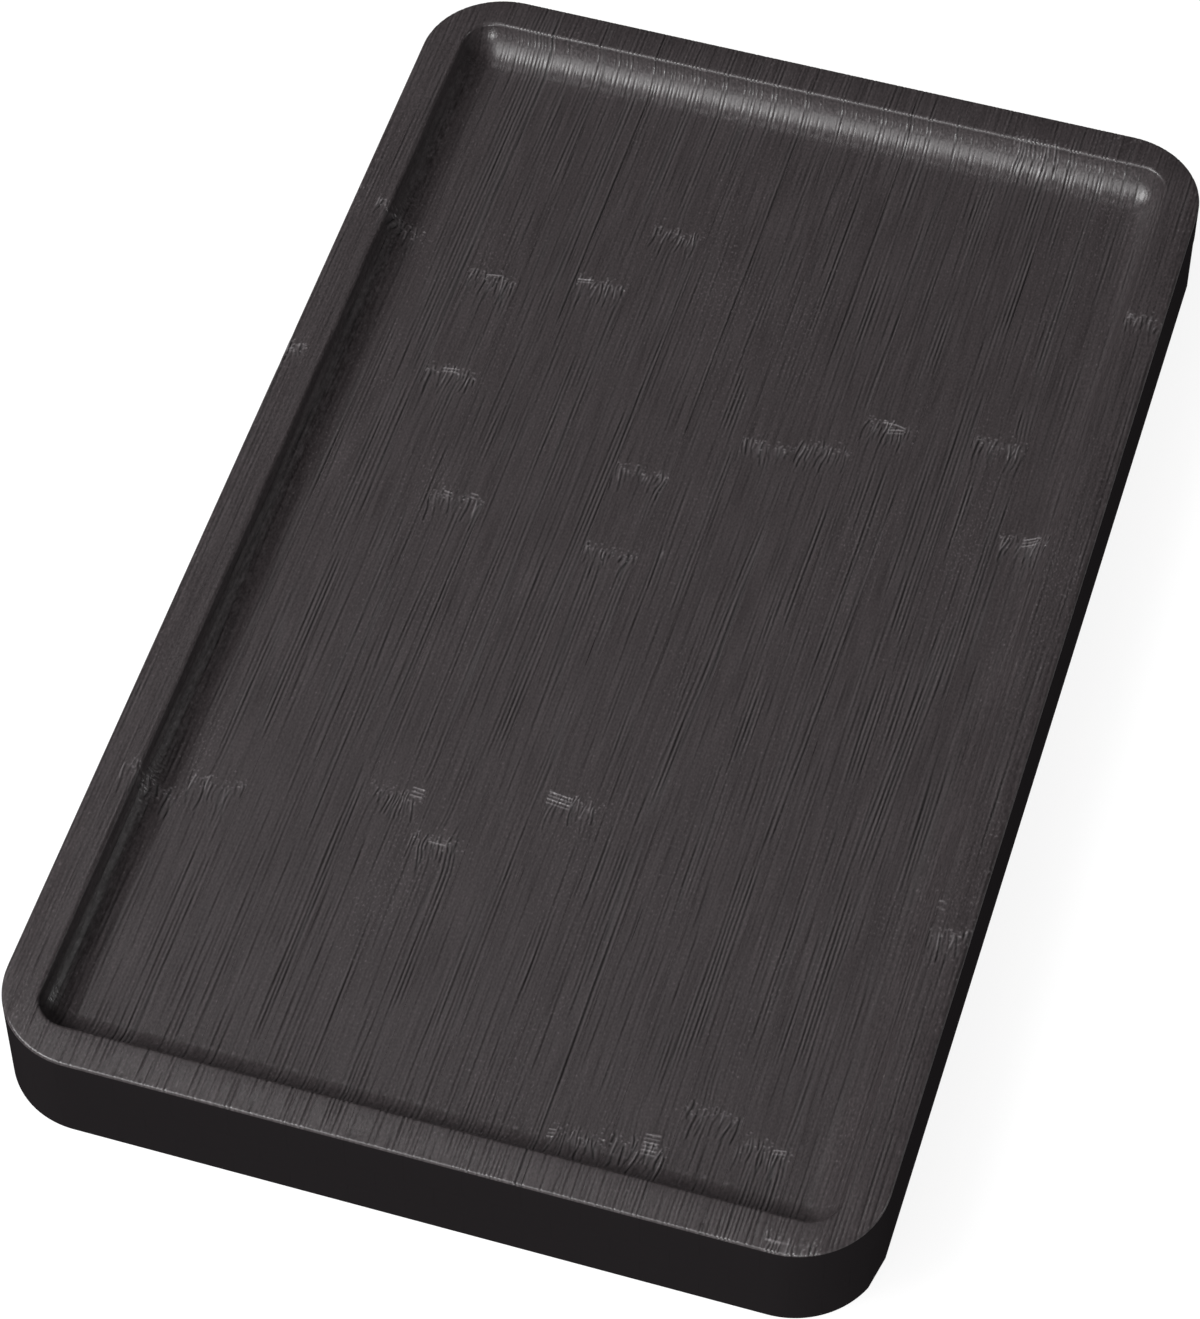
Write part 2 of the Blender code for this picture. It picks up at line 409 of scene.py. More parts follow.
def columns_of_strip(left, right, profile, floor_places, side_runs):
    """Place across the tray and run of each column of vertices, from left to right.

    Over the floor a column has run 0. On a side it stands at the profile's own inset, so the
    place is half the width less the inset, and the run is how far out along the profile it lies.
    """
    side_places = HALF_WIDTH - profile["inset"]
    foot = side_places[0]
    end_run = profile["run"][-1]

    def run_at(place):
        if place >= HALF_WIDTH - SAME_PLACE:
            return end_run
        return np.interp(place, side_places, profile["run"])

    def side_part(inner, outer):
        low, high = run_at(max(inner, foot)), run_at(outer)
        between = side_runs[(side_runs > low + COLUMN_STEP / 2) & (side_runs < high - COLUMN_STEP / 2)]
        return np.concatenate(([low], between, [high]))

    places, runs = [], []
    if left < -foot:
        part = side_part(max(-right, foot), -left)[::-1]
        places.append(-(HALF_WIDTH - at_run(profile, "inset", part)))
        runs.append(part)
    inner_left, inner_right = max(left, -foot), min(right, foot)
    if inner_left < inner_right:
        margin = LEAST_STEP_SHARE * COLUMN_STEP
        inside = (floor_places > inner_left + margin) & (floor_places < inner_right - margin)
        part = np.concatenate(([inner_left], floor_places[inside], [inner_right]))
        part = part[1:] if places else part
        part = part[:-1] if right > foot else part
        places.append(part)
        runs.append(np.zeros(len(part)))
    if right > foot:
        part = side_part(max(left, foot), right)
        places.append(HALF_WIDTH - at_run(profile, "inset", part))
        runs.append(part)
    return np.concatenate(places), np.concatenate(runs)


def strip_grid(profile, places, column_runs, ring_runs, floor_rows):
    """Points of a strip's upper surface: rows from the front wall's foot to the back wall's foot.

    At a ring further out than its column, a point lies on that ring, a round-cornered rectangle:
    y is the corner's centre plus the root of the corner radius squared less the square of how far
    the column lies past the corner's centre. Further in, the point stays at its column's own run,
    on the straight side, drawn back from the corner by a share of the runs' difference.
    """
    across = places[None, :]
    runs_here = column_runs[None, :]
    ring = ring_runs[:, None]
    inset, corner, height, facing = (
        at_run(profile, part, ring) for part in ("inset", "corner", "height", "facing")
    )
    own_inset, own_corner, own_height, own_facing = (
        at_run(profile, part, runs_here) for part in ("inset", "corner", "height", "facing")
    )
    past = np.clip(np.abs(across) - (HALF_WIDTH - inset - corner), 0, corner)
    on_ring = HALF_LENGTH - inset - corner + np.sqrt(corner**2 - past**2)
    on_side = HALF_LENGTH - own_inset - own_corner - CORNER_RUN_SHARE * (runs_here - ring)
    outside = ring >= runs_here
    along = np.where(outside, on_ring, on_side)
    rise = np.where(outside, height, own_height)
    up = np.where(outside, facing, own_facing)
    run = np.where(outside, ring, runs_here)

    end = along[0]
    foot = floor_rows[-1]
    middle = floor_rows[1:-1, None]
    stretch = (end[None, :] - STRAIGHT_ROWS) / (foot - STRAIGHT_ROWS)
    drawn = STRAIGHT_ROWS + (np.abs(middle) - STRAIGHT_ROWS) * stretch
    straight = np.abs(middle) <= STRAIGHT_ROWS
    middle_along = np.where(straight, middle + 0 * end, np.sign(middle) * drawn)

    def whole(front_and_back, between):
        return np.concatenate((front_and_back[::-1], between, front_and_back))

    count = len(middle)
    y = np.concatenate((-along[::-1], middle_along, along))
    z = whole(rise, np.repeat(own_height, count, axis=0))
    facing_up = whole(up, np.repeat(own_facing, count, axis=0))
    profile_run = whole(run, np.repeat(runs_here, count, axis=0))
    x = np.repeat(across, len(y), axis=0)
    return np.stack((x, y, z), axis=-1), facing_up, profile_run


def ease_underside(points):
    """Draw the foot of the outer wall in along the outline's normal, as a quarter circle."""
    s = sizes()
    ease = s.underside_ease
    past_x = np.maximum(np.abs(points[..., 0]) - (HALF_WIDTH - s.corner_radius), 0)
    past_y = np.maximum(np.abs(points[..., 1]) - (HALF_LENGTH - s.corner_radius), 0)
    reach = np.hypot(past_x, past_y)
    on_wall = reach > s.corner_radius - SAME_PLACE
    short = np.clip(ease - points[..., 2], 0, ease)
    inward = np.where(on_wall, ease - np.sqrt(ease**2 - short**2), 0)
    scale = inward / np.maximum(reach, SAME_PLACE)
    eased = points.copy()
    eased[..., 0] -= np.sign(points[..., 0]) * past_x * scale
    eased[..., 1] -= np.sign(points[..., 1]) * past_y * scale
    return eased


def closed_strip(name, points, left_is_seam, right_is_seam, wall_faces, values, materials):
    """Closed mesh of a strip: its grid, a face on each seam and one below, with doubles merged."""
    rows, columns = points.shape[:2]
    index = np.arange(rows * columns).reshape(rows, columns)
    corners = (index[:-1, :-1], index[:-1, 1:], index[1:, 1:], index[1:, :-1])
    quads = np.stack(corners, axis=-1).reshape(-1, 4)
    below = [index[0]]
    caps = []
    if right_is_seam:
        caps.append(index[::-1, -1])
    else:
        below.append(index[1:-1, -1])
    below.append(index[-1, ::-1])
    if left_is_seam:
        caps.append(index[:, 0])
    else:
        below.append(index[-2:0:-1, 0])
    caps.append(np.concatenate(below)[::-1])

    loops = np.concatenate((quads.ravel(), *caps)).astype(np.int32)
    lengths = np.concatenate((np.full(len(quads), 4), [len(cap) for cap in caps]))
    starts = np.concatenate(([0], np.cumsum(lengths)[:-1])).astype(np.int32)
    slots = np.concatenate((wall_faces.ravel(), np.ones(len(caps), bool))).astype(np.int32)

    mesh = bpy.data.meshes.new(name)
    mesh.vertices.add(rows * columns)
    mesh.vertices.foreach_set("co", points.astype(np.float32).ravel())
    mesh.loops.add(len(loops))
    mesh.loops.foreach_set("vertex_index", loops)
    mesh.polygons.add(len(starts))
    mesh.polygons.foreach_set("loop_start", starts)
    for material in materials:
        mesh.materials.append(material)
    mesh.polygons.foreach_set("material_index", slots * (len(materials) - 1))
    mesh.update(calc_edges=True)
    for label, value in values.items():
        attribute = mesh.attributes.new(label, "FLOAT", "POINT")
        attribute.data.foreach_set("value", value.astype(np.float32).ravel())

    shell = bmesh.new()
    shell.from_mesh(mesh)
    bmesh.ops.remove_doubles(shell, verts=shell.verts, dist=SAME_PLACE)
    shell.to_mesh(mesh)
    shell.free()
    mesh.shade_smooth()
    mesh.set_sharp_from_angle(angle=SHARP_FROM)
    strip = bpy.data.objects.new(name, mesh)
    bpy.context.collection.objects.link(strip)
    return strip


# Grain of an upper strip


def add_stroke(total, x, y, stroke, burrs=None):
    """Add one furrow or ridge that runs along the tray, and the burrs on both sides of it.

    Across it is a bell, exp(-(d / width)^2), about a line that leans and waves; along it the
    strength rises and falls smoothly over the taper at each end and, by the broken share, with
    a sine of the beat's length in between. The burrs are the bell times
    (d / reach)^4 under a wider bell, and stand highest at burr_reach from its line.
    """
    line = stroke["x"] + stroke["lean"] * (y - stroke["back"])
    line = line + stroke["wave"] * np.sin(2 * math.pi * (y / stroke["pitch"] + stroke["phase"]))
    taper = stroke["taper"]
    ends = ease_in((stroke["back"] - y) / taper) * ease_in((y - stroke["front"]) / taper)
    beat = np.sin(2 * math.pi * (y / stroke.get("beat", 1) + stroke["phase"]))
    strength = stroke["strength"] * ends * (1 - stroke.get("broken", 0) * (0.5 + 0.5 * beat))
    total += strength * np.exp(-(((x - line) / stroke["width"]) ** 2))
    if burrs is not None:
        away = ((x - line) / finish().burr_reach) ** 4
        burrs += finish().burr_share * strength * away * np.exp(1 - away)


def faint_furrows(rng, left, right):
    """Weak furrows over the whole strip: broken lines at the grain's pitch, some long, some short."""
    f = finish()
    strokes = []
    for place in np.arange(left + f.furrow_pitch / 2, right, f.furrow_pitch):
        back = HALF_LENGTH + rng.uniform(0, 0.05)
        while back > -HALF_LENGTH:
            front = back - rng.uniform(0.015, 0.09)
            strokes.append(
                {
                    "x": place + rng.normal(0, 0.0002),
                    "lean": rng.normal(0, 0.002),
                    "wave": rng.uniform(0.00003, 0.00012),
                    "pitch": rng.uniform(0.02, 0.09),
                    "phase": rng.uniform(0, 1),
                    "back": back,
                    "front": front,
                    "taper": 0.012,
                    "strength": f.faint_strength * rng.uniform(0.3, 1) ** 1.5,
                    "beat": rng.uniform(0.015, 0.060),
                    "broken": 0.55,
                    "width": f.furrow_width * rng.uniform(0.85, 1.15),
                }
            )
            back = front - rng.uniform(0.001, 0.03)
    return strokes


def strong_furrows(rng, left, right):
    """The groups of strong furrows whose middle lies on this strip, a pitch apart."""
    f = finish()
    strokes = []
    for middle, lean, back, front, count, strength in FURROW_GROUPS:
        if not left < middle < right:
            continue
        for number in range(count):
            place = middle + (number - (count - 1) / 2) * f.furrow_pitch
            strokes.append(
                {
                    "x": place + rng.normal(0, 0.00006) + lean * 0.5 * (back - front),
                    "lean": lean,
                    "wave": rng.uniform(0.00004, 0.00012),
                    "pitch": rng.uniform(0.04, 0.12),
                    "phase": rng.uniform(0, 1),
                    "back": back + rng.uniform(-0.006, 0.006),
                    "front": front + rng.uniform(-0.006, 0.006),
                    "taper": 0.008,
                    "strength": strength * rng.uniform(0.8, 1.25),
                    "beat": rng.uniform(0.015, 0.050),
                    "broken": 0.35,
                    "width": f.furrow_width * rng.uniform(0.85, 1.05),
                }
            )
    return strokes


def mark_strokes(rng, left, right, along):
    """Short wavy furrows and ridges that hang from a node mark, under one pitch apart."""
    f = finish()
    furrows, ridges = [], []
    for place in np.arange(left + 0.0006, right - 0.0004, f.furrow_pitch):
        back = along + rng.uniform(-0.001, 0.003)
        stroke = {
            "x": place + rng.normal(0, 0.0002),
            "lean": rng.normal(0, 0.04),
            "wave": rng.uniform(0.0001, 0.0004),
            "pitch": rng.uniform(0.008, 0.018),
            "phase": rng.uniform(0, 1),
            "back": back,
            "front": back - rng.uniform(0.0035, 0.012),
            "taper": 0.0015,
            "strength": rng.uniform(0.5, 1.3),
            "width": f.furrow_width,
        }
        furrows.append(stroke)
        beside = dict(stroke)
        beside["x"] = stroke["x"] - 0.45 * f.furrow_pitch
        beside["strength"] = f.mark_strength * rng.uniform(0.1, 1) ** 2
        beside["front"] = back - 0.6 * (back - stroke["front"])
        ridges.append(beside)
    return furrows, ridges


def add_spots(total, x, y, rng, left, right, along, reach, count, strength):
    """Add small raised spots: two-way bells scattered round a line across the strip."""
    for _ in range(count):
        across = rng.uniform(left, right)
        place = along + rng.normal(0, reach)
        wide, long = rng.uniform(0.00016, 0.00035), rng.uniform(0.00016, 0.00030)
        bell = np.exp(-(((x - across) / wide) ** 2) - ((y - place) / long) ** 2)
        total += strength * rng.uniform(0.3, 1) * bell


def add_bars(total, x, y, stack):
    """Add a stack of short raised bars that lie across the grain, each leaning and bowed."""
    across, along, count, length, pitch, lean, bow = stack
    offset = x - across
    ends = ease_in((length / 2 - np.abs(offset)) / 0.0006)
    for number in range(count):
        middle = along - (number - (count - 1) / 2) * pitch
        line = middle + lean * offset + bow * offset**2 / (length / 2)
        height = 2.8 - 0.9 * (number % 2)
        total += height * ends * np.exp(-(((y - line) / 0.00022) ** 2))


def bend_at_marks(x, y, rng, left, right, marks):
    """How far the grain is pushed aside at the node marks: most near a mark, either way."""
    bend = np.zeros_like(x)
    for along in marks:
        across = rng.uniform(left, right)
        push = rng.uniform(0.0004, 0.0012) * rng.choice((-1, 1))
        above = (y - along) / 0.006
        aside = np.tanh((x - across) / 0.003)
        bend += push * aside * np.exp(-(above**2))
    return bend


def grain_of_strip(number, left, right, x, y, foot_inset):
    """Furrows and ridges of one upper strip, each about 0 to 1, at every vertex."""
    f = finish()
    rng = np.random.default_rng(f.seed + number)
    marks = [along for strip, along in NODE_MARKS if strip == number]
    bend = bend_at_marks(x, y, rng, left, right, marks)
    straight_x = x - bend
    furrows, burrs, ridges = np.zeros_like(x), np.zeros_like(x), np.zeros_like(x)
    for stroke in faint_furrows(rng, left, right) + strong_furrows(rng, left, right):
        add_stroke(furrows, straight_x, y, stroke, burrs)
    for along in marks:
        fade = np.exp(-(((y - along) / 0.0045) ** 2))
        furrows *= 1 - 0.75 * fade
        burrs *= 1 - 0.75 * fade
        clear_across = rng.uniform(left, right)
        clear = np.exp(-(((x - clear_across) / 0.005) ** 2) - ((y - along - 0.009) / 0.007) ** 2)
        furrows *= 1 - 0.9 * clear
        burrs *= 1 - 0.9 * clear
        dark, light = mark_strokes(rng, left, right, along)
        for stroke in dark:
            add_stroke(furrows, straight_x, y, stroke, burrs)
        for stroke in light:
            add_stroke(ridges, straight_x, y, stroke)
        add_spots(ridges, x, y, rng, left, right, along, 0.0014, 34, f.mark_strength)
    for stack in BAR_STACKS:
        if left < stack[0] < right:
            add_bars(ridges, x, y, stack)
    for _ in range(f.stray_spots):
        add_spots(ridges, x, y, rng, left, right, rng.uniform(-0.17, 0.17), 0.0004, 2, 0.8)
    # Rows of raised spots along the coves' feet; in the shader they also lighten the colour, a painted
    # highlight along the crease where the cove meets the floor.
    foot = HALF_LENGTH - foot_inset
    add_spots(ridges, x, y, rng, left, right, -foot, 0.0002, 14, 0.9)
    add_spots(ridges, x, y, rng, left, right, foot, 0.0005, 14, 0.7)
    ridges += cove_fibres(rng, x, y)
    # Burrs, spots, bars and mark ridges go into one ridge value: raised relief, and in the shader a
    # lighter colour that is partly painted highlight.
    return np.minimum(furrows, 1.25), np.minimum(ridges + burrs, 5)


def cove_fibres(rng, x, y):
    """Uneven fibres on the left cove: a bell round the middle of its wall, times random numbers
    from -1 to 1 that are averaged over three neighbours across the grain, with shallow hollows."""
    # Only the left cove gets them; besides their shallow relief they lighten its colour in flecks
    # through the ridge attribute, partly a painted highlight.
    steep = np.exp(-(((x + HALF_WIDTH - 0.0142) / 0.0026) ** 2))
    ends = ease_in((HALF_LENGTH - 0.014 - np.abs(y)) / 0.01)
    uneven = rng.uniform(-1, 1, x.shape)
    uneven = (uneven + np.roll(uneven, 1, axis=1) + np.roll(uneven, -1, axis=1)) / 3
    return finish().cove_roughness * steep * ends * (np.maximum(uneven, -0.2) - 0.06)


def rim_swell(points):
    """Shading height of the rim, as if it tilted outwards: zero past the rim.

    With d the way in from the outline, the tilt is rim_tilt up to d = rounded_from and falls to
    nothing at d = rounded_to with the power 1.5 of the way left. The height is its integral.
    """
    s = sizes()
    past_x = np.abs(points[..., 0]) - (HALF_WIDTH - s.corner_radius)
    past_y = np.abs(points[..., 1]) - (HALF_LENGTH - s.corner_radius)
    corner = np.hypot(np.maximum(past_x, 0), np.maximum(past_y, 0))
    inset = s.corner_radius - np.where((past_x > 0) & (past_y > 0), corner, np.maximum(past_x, past_y))
    span = s.rounded_to - s.rounded_from
    short = np.clip(s.rounded_to - inset, 0, None)
    curved = np.minimum(short, span)
    return -s.rim_tilt * (curved**2.5 / (2.5 * span**1.5) + short - curved)


def carve(points, facing, furrows, ridges):
    """Lower the points in the furrows and raise them on the ridges, along the surface's normal.

    The shift is turned to a vertical one by dividing by how far the surface faces up, and it
    fades out towards upright surfaces. No point rises above the top of the rim.
    """
    f = finish()
    shift = f.ridge_height * ridges - f.furrow_depth * furrows
    steep = ease_in((facing - f.plain_below) / 0.3) / np.maximum(facing, 0.4)
    carved = points.copy()
    carved[..., 2] = np.minimum(points[..., 2] + shift * steep, TRAY_TOP)
    return carved


def layer_edges(layer):
    """Places of the seams in a layer, midway between the boxes of neighbours in the frame."""
    boxes = [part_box(f"{layer}_strip_{n:02d}") for n in range(1, STRIPS_IN_LAYER + 1)]
    seams = [(a[1].x + b[0].x) / 2 for a, b in zip(boxes, boxes[1:])]
    return [-HALF_WIDTH, *seams, HALF_WIDTH]


def layer_heights(layer):
    """Bottom and top of a layer, closed up to a hair towards its neighbours in height."""
    low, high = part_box(f"{layer}_strip_05")
    bottom = low.z - layer_gap("below", layer) / 2
    top = high.z + layer_gap("above", layer) / 2
    return bottom, top


def layer_gap(side, layer):
    """Height to close on one side of a layer: the frame's glue line less the hair that stays."""
    order = ("base", "core", "upper")
    here = order.index(layer)
    other = here - 1 if side == "below" else here + 1
    if not 0 <= other < len(order):
        return 0
    lower, upper = order[min(here, other)], order[max(here, other)]
    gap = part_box(f"{upper}_strip_05")[0].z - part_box(f"{lower}_strip_05")[1].z
    return gap - sizes().seam_gap


def seam_sides(edges, number):
    """Left and right side of a strip, drawn in by half a hair at a seam, and which are seams."""
    half = sizes().seam_gap / 2
    left_is_seam = number > 1
    right_is_seam = number < STRIPS_IN_LAYER
    left = edges[number - 1] + (half if left_is_seam else 0)
    right = edges[number] - (half if right_is_seam else 0)
    return left, right, left_is_seam, right_is_seam


def seat_in_frame(strip, node):
    """Let a strip stand for its node, whose part is hidden, and ride on the tray."""
    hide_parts(node)
    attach(strip, "root")


def make_upper_strips():
    """All strips of the upper layer, with grain carved into rim, coves and floor."""
    edges = layer_edges("upper")
    bottom, _ = layer_heights("upper")
    profile = upper_profile(bottom)
    row_runs, column_runs = upper_ring_runs(profile)
    wall_start = profile["ends"][-2]
    foot_x = HALF_WIDTH - profile["inset"][0]
    foot_y = HALF_LENGTH - profile["inset"][0] - profile["corner"][0]
    floor_places = np.arange(-foot_x, foot_x, COLUMN_STEP)
    top_material = brushed_bamboo()
    wall_material = lacquered_wall()
    for number in range(1, STRIPS_IN_LAYER + 1):
        left, right, left_is_seam, right_is_seam = seam_sides(edges, number)
        marks = [along for strip, along in NODE_MARKS if strip == number]
        floor_rows = rows_over_floor(foot_y, marks)
        places, runs = columns_of_strip(left, right, profile, floor_places, column_runs)
        points, facing, run = strip_grid(profile, places, runs, row_runs, floor_rows)
        x, y = points[..., 0], points[..., 1]
        furrows, ridges = grain_of_strip(number, left, right, x, y, profile["inset"][0])
        points = carve(points, facing, furrows, ridges)
        on_wall = run > wall_start - SAME_PLACE
        wall_faces = on_wall[:-1, :-1] & on_wall[1:, :-1] & on_wall[:-1, 1:] & on_wall[1:, 1:]
        tone = np.full_like(furrows, strip_tone(number))
        values = {"furrow": furrows, "ridge": ridges, "tone": tone, "swell": rim_swell(points)}
        name = f"brushed_upper_strip_{number:02d}"
        materials = (top_material, wall_material)
        strip = closed_strip(
            name, points, left_is_seam, right_is_seam, wall_faces, values, materials
        )
        seat_in_frame(strip, f"upper_strip_{number:02d}")


def rows_over_floor(foot, marks):
    """Places of the rows along the floor: an even step, closer round each node mark."""
    parts = [np.arange(0, foot, ROW_STEP), -np.arange(0, foot, ROW_STEP)]
    for along in marks:
        parts.append(np.arange(along - MARK_REACH, along + MARK_REACH, MARK_ROW_STEP))
        parts.append(np.arange(along - FINE_REACH, along + FINE_REACH, FINE_ROW_STEP))
    inside = spaced(np.concatenate(parts), 0.8 * FINE_ROW_STEP)
    inside = inside[np.abs(inside) < foot - FINE_ROW_STEP]
    return np.concatenate(([-foot], inside, [foot]))


def strip_tone(number):
    """Tone of a strip against the stain: steps round by the golden section, within the spread."""
    f = finish()
    turn = number * 0.618 % 1
    return 1 + f.tone_spread * (2 * turn - 1)


def make_lower_strips(layer):
    """All strips of the core or base layer, whose ends and outer sides make the tray's wall."""
    s = sizes()
    edges = layer_edges(layer)
    bottom, top = layer_heights(layer)
    profile = lower_profile(bottom, top)
    wall_end = profile["run"][-1]
    wall_start = profile["run"][1]
    side_runs = np.linspace(wall_start, wall_end, WALL_STEPS + 1)
    if layer == "base":
        foot_turn = np.radians(np.linspace(0, 90, EASE_STEPS + 1))
        heights = s.underside_ease * (1 - np.sin(foot_turn))
        side_runs = np.concatenate((side_runs[:-1], wall_end - heights))
    row_runs = spaced(np.concatenate(([0, wall_start], side_runs)))
    turn = np.radians(np.linspace(0, 90, TURN_STEPS + 1))
    round_part = HALF_WIDTH - s.corner_radius + s.corner_radius * np.sin(turn)
    foot_x = HALF_WIDTH - profile["inset"][0]
    floor_places = spaced(np.concatenate((round_part, -round_part)))
    floor_places = floor_places[np.abs(floor_places) < foot_x]
    foot_y = HALF_LENGTH - profile["inset"][0] - profile["corner"][0]
    floor_rows = np.array((-foot_y, foot_y))
    materials = (lacquered_wall(),)
    for number in range(1, STRIPS_IN_LAYER + 1):
        left, right, left_is_seam, right_is_seam = seam_sides(edges, number)
        places, runs = columns_of_strip(left, right, profile, floor_places, row_runs)
        points, _, _ = strip_grid(profile, places, runs, row_runs, floor_rows)
        points = ease_underside(points)
        wall_faces = np.zeros((points.shape[0] - 1, points.shape[1] - 1), bool)
        name = f"lacquered_{layer}_strip_{number:02d}"
        strip = closed_strip(name, points, left_is_seam, right_is_seam, wall_faces, {}, materials)
        seat_in_frame(strip, f"{layer}_strip_{number:02d}")


# Materials


def new_material(name):
    """Material with a Principled shader, and a function that adds a node and wires it up."""
    material = bpy.data.materials.new(name)
    material.use_nodes = True
    tree = material.node_tree
    shader = tree.nodes["Principled BSDF"]

    def node(kind, inputs=None, **settings):
        made = tree.nodes.new(kind)
        for key, value in settings.items():
            setattr(made, key, value)
        for key, value in (inputs or {}).items():
            if isinstance(value, bpy.types.NodeSocket):
                tree.links.new(value, made.inputs[key])
            else:
                made.inputs[key].default_value = value
        return made

    return material, shader, tree.links, node


def stretched_noise(node, scale, detail, roughness, shift=None):
    """Noise on Object coordinates, squeezed by an own scale along each axis."""
    place = node("ShaderNodeTexCoord").outputs["Object"]
    if shift is not None:
        place = node("ShaderNodeVectorMath", {0: place, 1: shift}, operation="ADD").outputs[0]
    mapped = node("ShaderNodeMapping", {"Vector": place, "Scale": scale})
    inputs = {
        "Vector": mapped.outputs["Vector"],
        "Scale": 1.0,
        "Detail": detail,
        "Roughness": roughness,
    }
    return node("ShaderNodeTexNoise", inputs).outputs["Fac"]


def brushed_bamboo():
    """Stained and wire-brushed bamboo: darker in the furrows, lighter on the ridges, partly as worn
    stain and partly as a painted highlight.
    """
    f = finish()
    material, shader, links, node = new_material("brushed_bamboo")

    def math_node(kind, first, second, third=None):
        inputs = {0: first, 1: second}
        if third is not None:
            inputs[2] = third
        return node("ShaderNodeMath", inputs, operation=kind).outputs[0]

    furrow = node("ShaderNodeAttribute", attribute_name="furrow").outputs["Fac"]
    ridge = node("ShaderNodeAttribute", attribute_name="ridge").outputs["Fac"]
    tone = node("ShaderNodeAttribute", attribute_name="tone").outputs["Fac"]
    own = node("ShaderNodeCombineXYZ", {"Y": tone}).outputs[0]
    fibre = stretched_noise(node, (1600, 45, 1100), 0, 0.5, own)
    pores = stretched_noise(node, (1900, 1100, 1500), 0, 0.5, own)
    cloud = stretched_noise(node, (40, 14, 40), 2, 0.5)

    fibre_swing = math_node("MULTIPLY_ADD", fibre, 2 * f.fibre_swing, 1 - f.fibre_swing)
    pore_swing = math_node("MULTIPLY_ADD", pores, 2 * f.pore_swing, 1 - f.pore_swing)
    cloud_swing = math_node("MULTIPLY_ADD", cloud, 2 * f.cloud_swing, 1 - f.cloud_swing)
    in_furrow = math_node("MULTIPLY_ADD", furrow, -f.furrow_dark, 1)
    # Ridges, burrs and specks lighten the colour towards a neutral grey: partly worn stain, partly a
    # painted highlight that stands in for glints off the relief.
    wear_and_highlight = math_node("MULTIPLY", ridge, f.ridge_light)
    level = math_node("MULTIPLY", tone, fibre_swing)
    level = math_node("MULTIPLY", level, pore_swing)
    level = math_node("MULTIPLY", level, cloud_swing)
    level = math_node("MULTIPLY", level, in_furrow)
    peak = math_node("MULTIPLY_ADD", cloud, 0.5, pores)
    speck = math_node("MAXIMUM", math_node("SUBTRACT", peak, f.speck_from), 0)
    wear_and_highlight = math_node("MULTIPLY_ADD", speck, f.speck_light, wear_and_highlight)
    stain = node("ShaderNodeVectorMath", {0: tuple(f.stain), "Scale": level}, operation="SCALE")
    grey = node("ShaderNodeVectorMath", {0: tuple(f.wear_and_highlight_grey), "Scale": wear_and_highlight}, operation="SCALE")
    sum_inputs = {0: stain.outputs["Vector"], 1: grey.outputs["Vector"]}
    colour = node("ShaderNodeVectorMath", sum_inputs, operation="ADD")
    links.new(colour.outputs["Vector"], shader.inputs["Base Color"])

    gloss = math_node("MULTIPLY_ADD", fibre, f.gloss_swing, f.top_roughness - f.gloss_swing / 2)
    gloss = math_node("MULTIPLY_ADD", furrow, 0.10, gloss)
    links.new(gloss, shader.inputs["Roughness"])

    swell = node("ShaderNodeAttribute", attribute_name="swell").outputs["Fac"]
    texture = math_node("MULTIPLY_ADD", pores, 0.6, fibre)
    height = math_node("MULTIPLY_ADD", texture, f.fibre_relief, swell)
    bump = node("ShaderNodeBump", {"Height": height, "Distance": 1.0, "Strength": 1.0})
    links.new(bump.outputs["Normal"], shader.inputs["Normal"])
    shader.inputs["Specular IOR Level"].default_value = f.top_gloss
    return material


def lacquered_wall():
    """Smooth dark lacquer of the outer wall and underside, with a faint trace of the fibres."""
    existing = bpy.data.materials.get("lacquered_wall")
    if existing:
        return existing
    f = finish()
    material, shader, links, node = new_material("lacquered_wall")
    fibre = stretched_noise(node, (900, 30, 500), 3, 0.6)
    swing = node(
        "ShaderNodeMath", {0: fibre, 1: 0.10, 2: 0.95}, operation="MULTIPLY_ADD"
    ).outputs[0]
    stain = node("ShaderNodeVectorMath", {0: tuple(f.wall_stain), "Scale": swing}, operation="SCALE")
    links.new(stain.outputs["Vector"], shader.inputs["Base Color"])
    gloss = node(
        "ShaderNodeMath", {0: fibre, 1: 0.06, 2: f.wall_roughness - 0.03}, operation="MULTIPLY_ADD"
    ).outputs[0]
    links.new(gloss, shader.inputs["Roughness"])
    shader.inputs["Specular IOR Level"].default_value = f.wall_gloss
    return material


# Stage


def set_world():
    """World that shows white to the camera and lights the tray with a weaker grey."""
    settings = stage_settings()
    world = bpy.data.worlds.new("studio")
    bpy.context.scene.world = world
    world.use_nodes = True
    tree = world.node_tree
    tree.nodes.clear()
    output = tree.nodes.new("ShaderNodeOutputWorld")
    mix = tree.nodes.new("ShaderNodeMixShader")
    room = tree.nodes.new("ShaderNodeBackground")
    white = tree.nodes.new("ShaderNodeBackground")
    path = tree.nodes.new("ShaderNodeLightPath")
    room.inputs["Strength"].default_value = settings.room_light
    room.inputs["Color"].default_value = (1, 1, 1, 1)
    white.inputs["Strength"].default_value = 1
    white.inputs["Color"].default_value = (1, 1, 1, 1)
    tree.links.new(path.outputs["Is Camera Ray"], mix.inputs["Fac"])
    tree.links.new(room.outputs[0], mix.inputs[1])
    tree.links.new(white.outputs[0], mix.inputs[2])
    tree.links.new(mix.outputs[0], output.inputs["Surface"])


